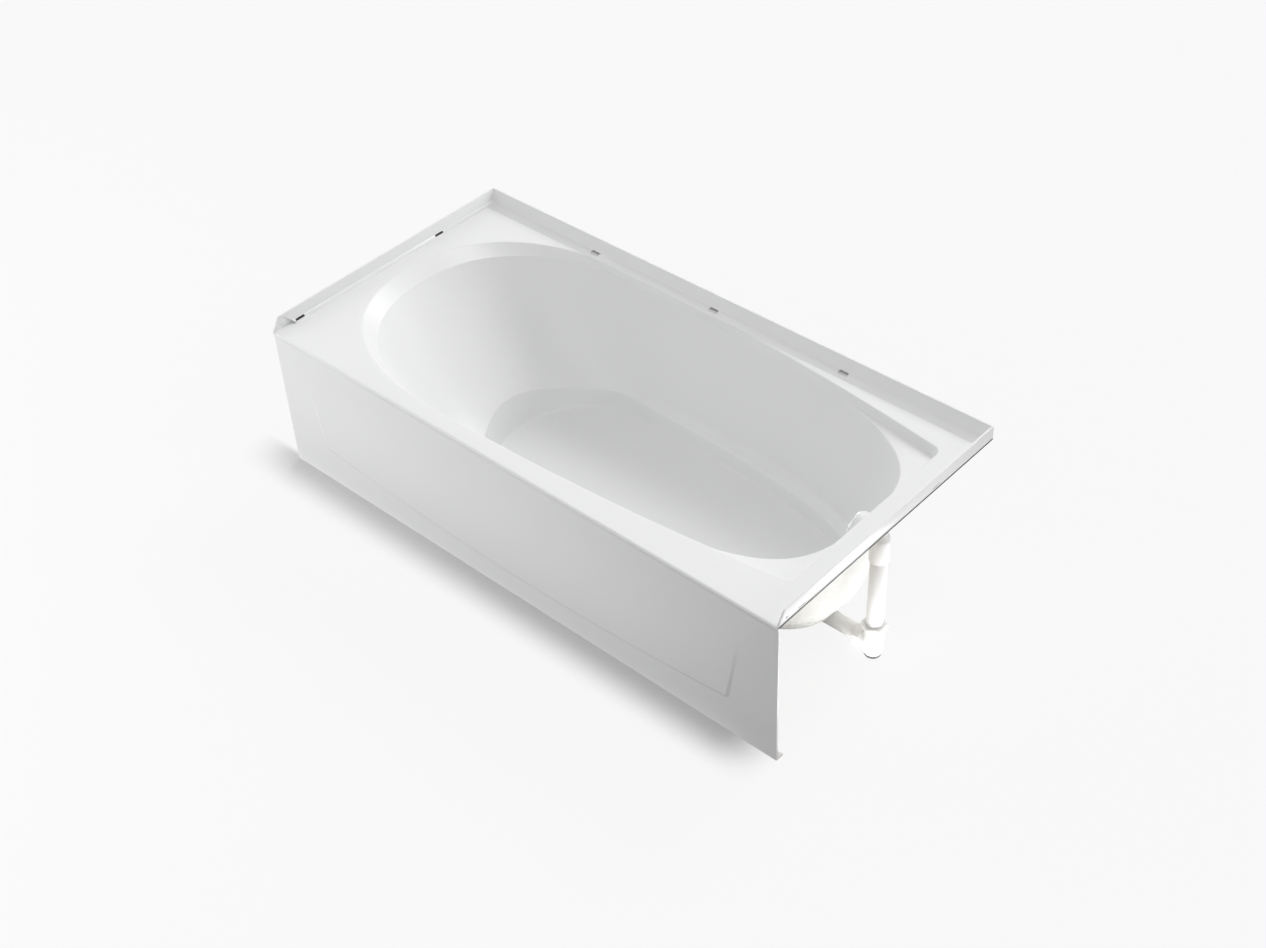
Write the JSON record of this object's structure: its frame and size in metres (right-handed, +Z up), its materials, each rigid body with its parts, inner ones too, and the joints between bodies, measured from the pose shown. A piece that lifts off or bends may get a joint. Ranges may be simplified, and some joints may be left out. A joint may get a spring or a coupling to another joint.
{
  "type": "alcove bathtub",
  "caption": "Alcove bathtub moulded in white sheet with an apron, tiling flanges, a sloped back rest, a foot well, a timber base and a trip-lever waste and overflow.",
  "frame": {"origin": "middle of the footprint at floor level", "axes": "+X along the apron towards the drain end, +Y from the apron to the back wall, +Z up"},
  "size_m": [1.524, 0.742, 0.43],
  "materials": {
    "shell": "gloss",
    "laminate": "rough",
    "timber": "planed",
    "board": "pressed",
    "zinc": "zinc plated",
    "rubber": "matte",
    "foam": "matte",
    "chrome": "polished",
    "brass": "satin",
    "pipework": "satin",
    "washer": "matte"
  },
  "bodies": {
    "bath": {"bath_shell": "shell", "laminate_backing": "laminate", "apron_top_rail": "timber", "apron_bottom_rail": "timber", "apron_post_left": "timber", "apron_post_mid_left": "timber", "apron_post_mid_right": "timber", "apron_post_right": "timber", "rim_rail_left": "timber", "rim_rail_right_front": "timber", "rim_rail_right_back": "timber", "rim_rail_back": "timber", "base_board": "board", "runner_front": "timber", "runner_back": "timber", "runner_screws": "zinc", "floor_pads": "rubber", "apron_tie_left": "zinc", "apron_tie_right": "zinc", "tie_screws": "zinc", "drain_flange": "chrome", "drain_gasket": "rubber", "waste_shoe": "pipework", "waste_pipe": "pipework", "waste_tee": "pipework", "slip_nuts": "pipework", "slip_washers": "washer", "overflow_pipe": "pipework", "overflow_head": "pipework", "overflow_gasket": "foam", "overflow_plate": "chrome", "overflow_screws": "chrome", "lever_bracket": "zinc", "lever_pin": "zinc"},
    "lever": {"trip_lever": "chrome"},
    "linkage": {"lift_rod": "brass", "lift_spring": "zinc"},
    "rocker": {"rocker_arm": "brass"},
    "stopper": {"stopper_cap": "chrome", "stopper_seal": "rubber"}
  },
  "joints": [
    {"name": "lever_throw", "type": "hinge", "parent": "bath", "child": "lever", "pos_m": [0.684, 0.007, 0.345], "axis": [0, 1, 0], "range_deg": [0, 24]},
    {"name": "rod_drop", "type": "slide", "parent": "bath", "child": "linkage", "axis": [0, 0, -1], "range_m": [0, 0.0167]},
    {"name": "rocker_tilt", "type": "hinge", "parent": "bath", "child": "rocker", "pos_m": [0.618, 0.007, 0.04], "axis": [0, 1, 0], "range_deg": [0, 8.3]},
    {"name": "stopper_lift", "type": "slide", "parent": "bath", "child": "stopper", "axis": [0, 0, 1], "range_m": [0, 0.0116]}
  ],
  "couplings": [
    {"joint": "rod_drop", "follows": "lever_throw", "m_per_rad": 0.039708},
    {"joint": "rocker_tilt", "follows": "lever_throw", "ratio": 0.34529},
    {"joint": "stopper_lift", "follows": "lever_throw", "m_per_rad": 0.027624}
  ]
}
